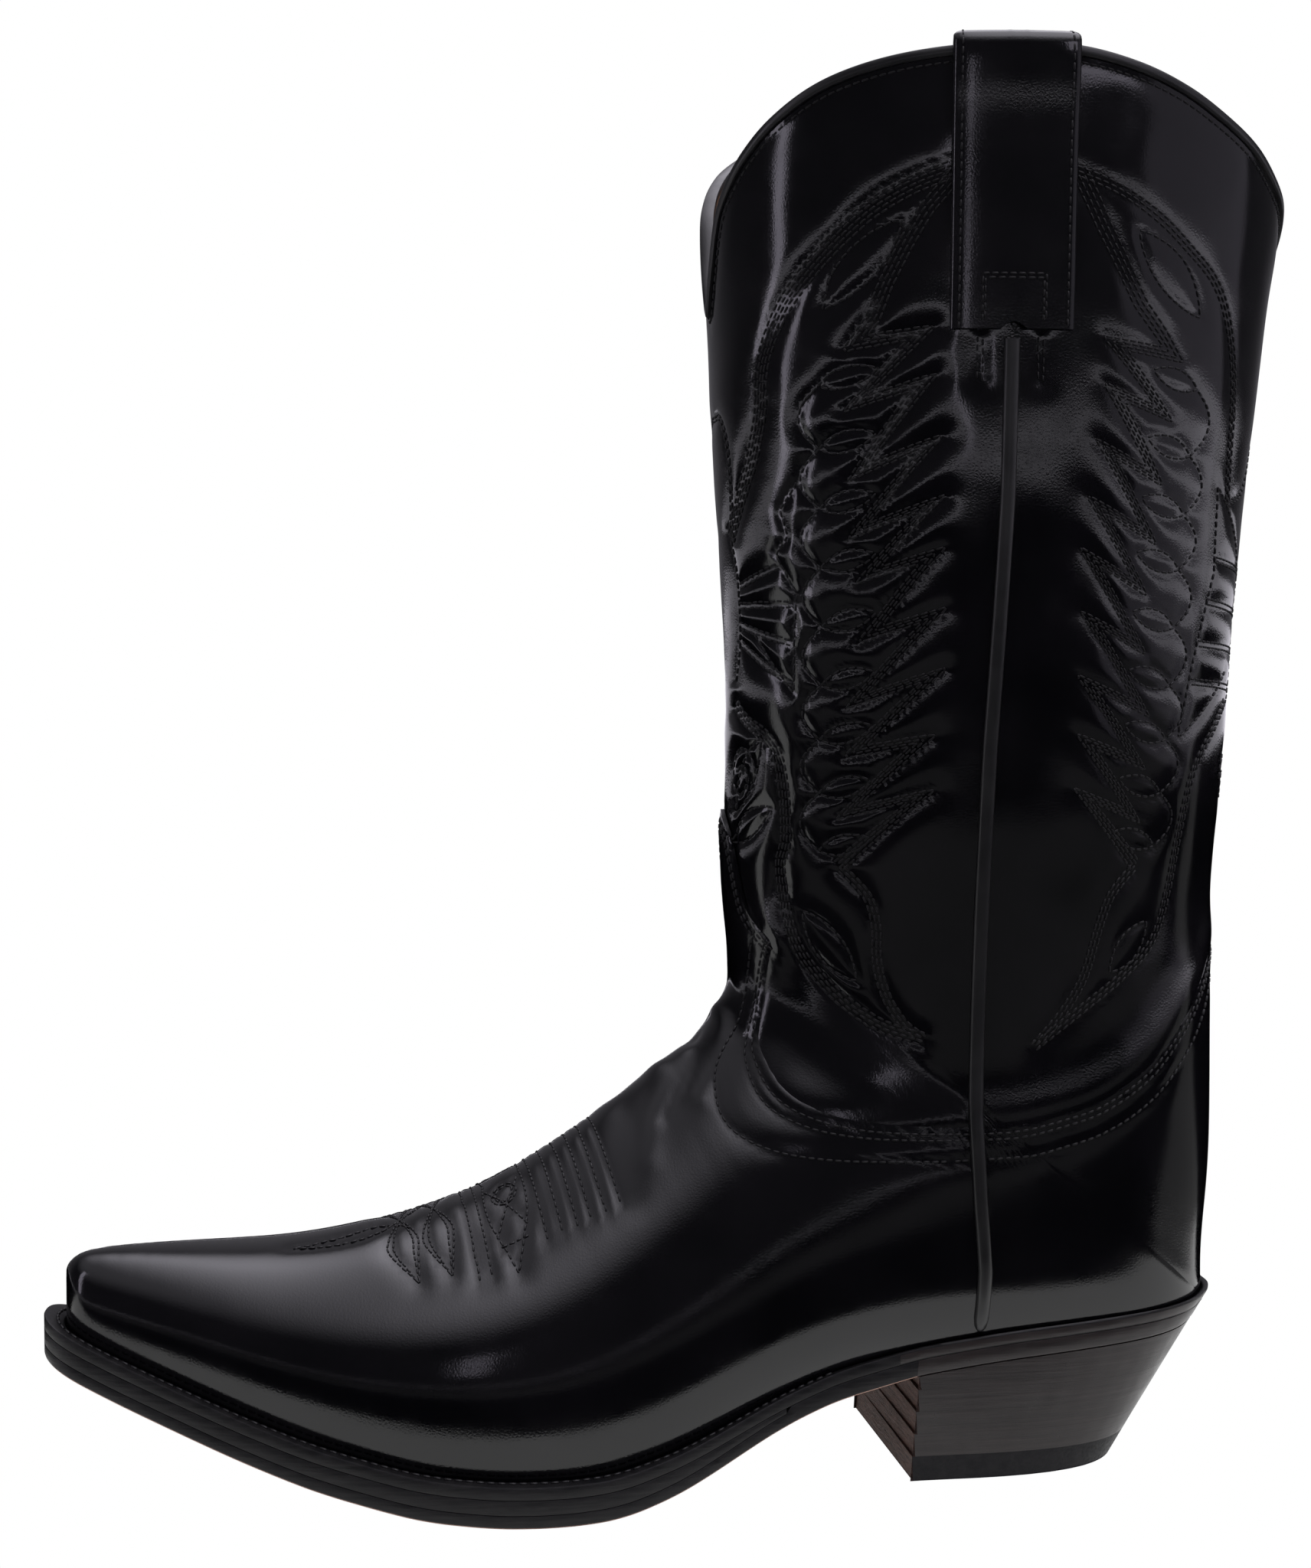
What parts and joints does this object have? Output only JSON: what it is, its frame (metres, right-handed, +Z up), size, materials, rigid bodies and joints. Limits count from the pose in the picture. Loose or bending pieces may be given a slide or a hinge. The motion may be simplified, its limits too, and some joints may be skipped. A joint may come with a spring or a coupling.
{
  "type": "cowboy boot",
  "caption": "Mid-calf Western boot for the left foot: pointed toe, stitched shaft with pull straps, welted leather sole and slanted stacked heel.",
  "frame": {"origin": "on the floor, under the middle of the boot's box", "axes": "+X towards the heel, -Y towards the outer side of the foot, +Z up"},
  "size_m": [0.3328, 0.1274, 0.3707],
  "materials": {
    "upper_leather": "glossy polished black leather",
    "lining_leather": "matt natural tan leather",
    "sole_leather": "dyed and waxed sole leather edge, tan underside",
    "heel_leather": "stacked leather, dyed dark brown and waxed",
    "heel_rubber": "matt black",
    "steel": "plain",
    "brass": "plain",
    "peg_wood": "raw",
    "cork": "raw granulated cork",
    "fibre": "raw fibre board"
  },
  "bodies": {
    "root": {"arch_peg_1": "peg_wood", "arch_peg_2": "peg_wood", "arch_peg_3": "peg_wood", "arch_peg_4": "peg_wood", "arch_peg_5": "peg_wood", "arch_peg_6": "peg_wood", "arch_peg_7": "peg_wood", "arch_peg_8": "peg_wood", "cork_filler": "cork", "counter_cover": "upper_leather", "heel_lift_1": "heel_leather", "heel_lift_2": "heel_leather", "heel_lift_3": "heel_leather", "heel_rand": "sole_leather", "heel_seat_lift": "heel_leather", "heel_stiffener": "fibre", "heel_top_piece": "heel_rubber", "insole": "lining_leather", "lining_back": "lining_leather", "lining_front": "lining_leather", "midsole": "sole_leather", "outsole": "sole_leather", "pull_strap_inner": "upper_leather", "pull_strap_outer": "upper_leather", "seat_nail_1": "steel", "seat_nail_2": "steel", "seat_nail_3": "steel", "seat_nail_4": "steel", "shaft_back": "upper_leather", "shaft_front": "upper_leather", "shank": "steel", "side_piping_inner": "upper_leather", "side_piping_outer": "upper_leather", "sock_lining": "lining_leather", "toe_puff": "fibre", "top_binding": "upper_leather", "top_piece_nail_1": "brass", "top_piece_nail_2": "brass", "top_piece_nail_3": "brass", "top_piece_nail_4": "brass", "top_piece_nail_5": "brass", "top_piece_nail_6": "brass", "top_piece_nail_7": "brass", "vamp": "upper_leather", "vamp_lining": "lining_leather", "welt": "sole_leather"}
  },
  "joints": []
}
